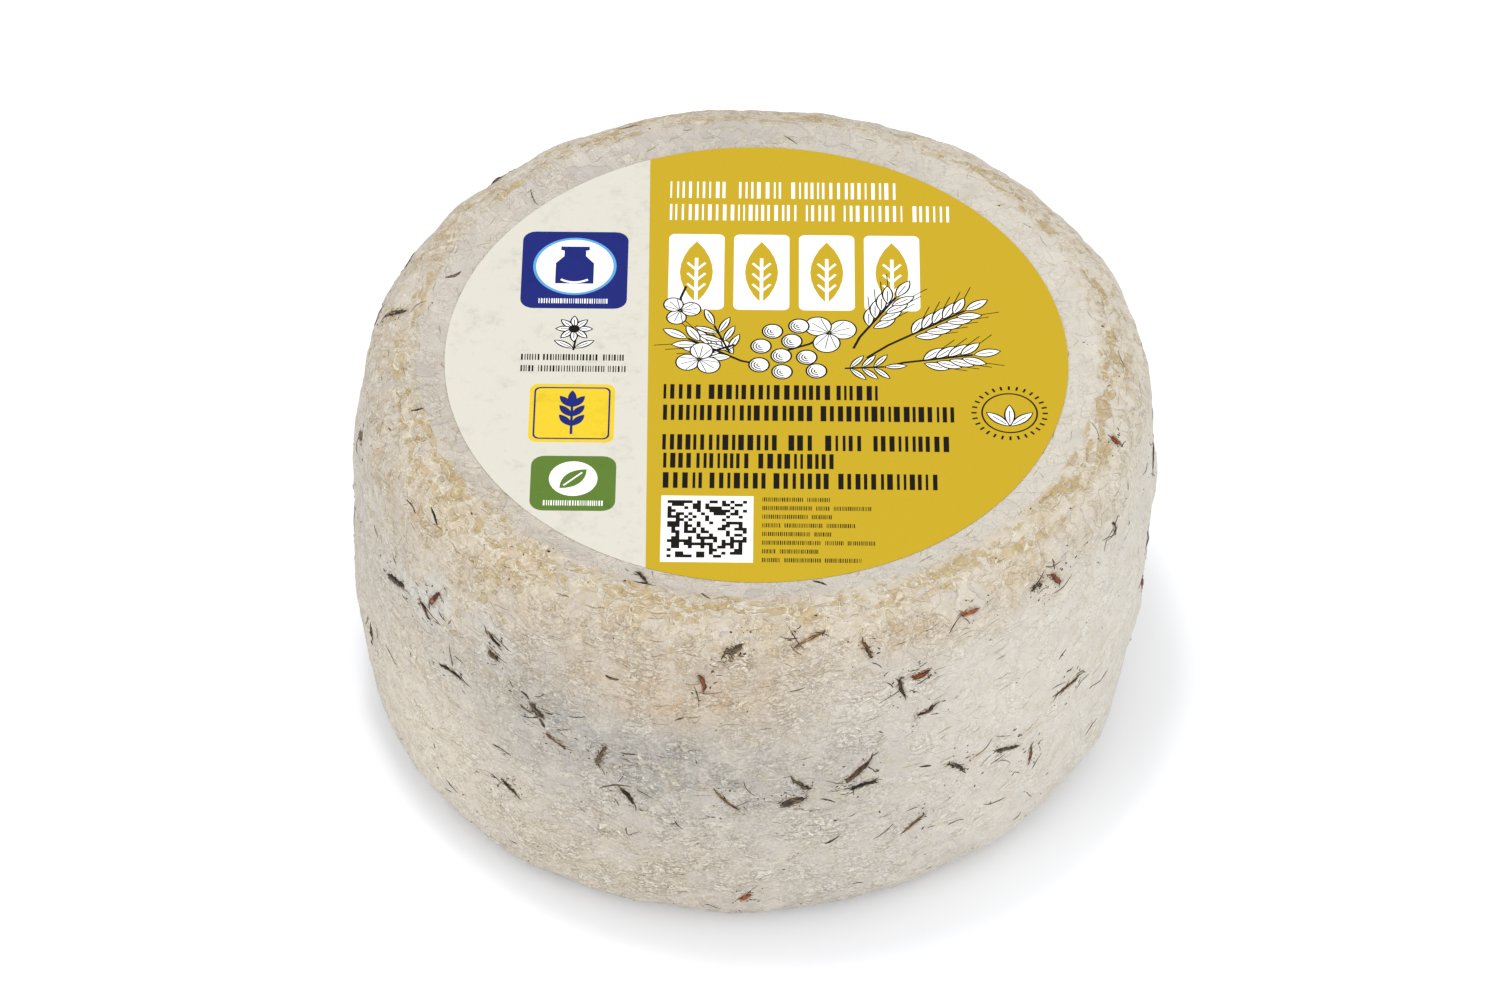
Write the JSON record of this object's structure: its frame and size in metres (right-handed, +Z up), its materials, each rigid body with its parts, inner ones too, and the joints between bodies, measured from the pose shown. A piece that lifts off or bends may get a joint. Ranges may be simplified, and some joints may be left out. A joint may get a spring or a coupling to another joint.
{
  "type": "hay milk cheese wheel",
  "caption": "Whole wheel of semi-hard hay milk cheese with herbs in its natural rind and a round paper label lying flat on top.",
  "frame": {"origin": "middle of the wheel's box at the height of its flat base", "axes": "+Z up along the wheel's own axis, +X to the right of the pictured view, -Y towards the viewer"},
  "size_m": [0.186, 0.1856, 0.0993],
  "materials": {
    "rind": "dry natural cheese rind, matt, grey-cream with ochre patches on the upper edge",
    "label_paper": "printed paper, satin"
  },
  "bodies": {
    "root": {"cheese_wheel": "rind", "label": "label_paper"}
  },
  "joints": []
}
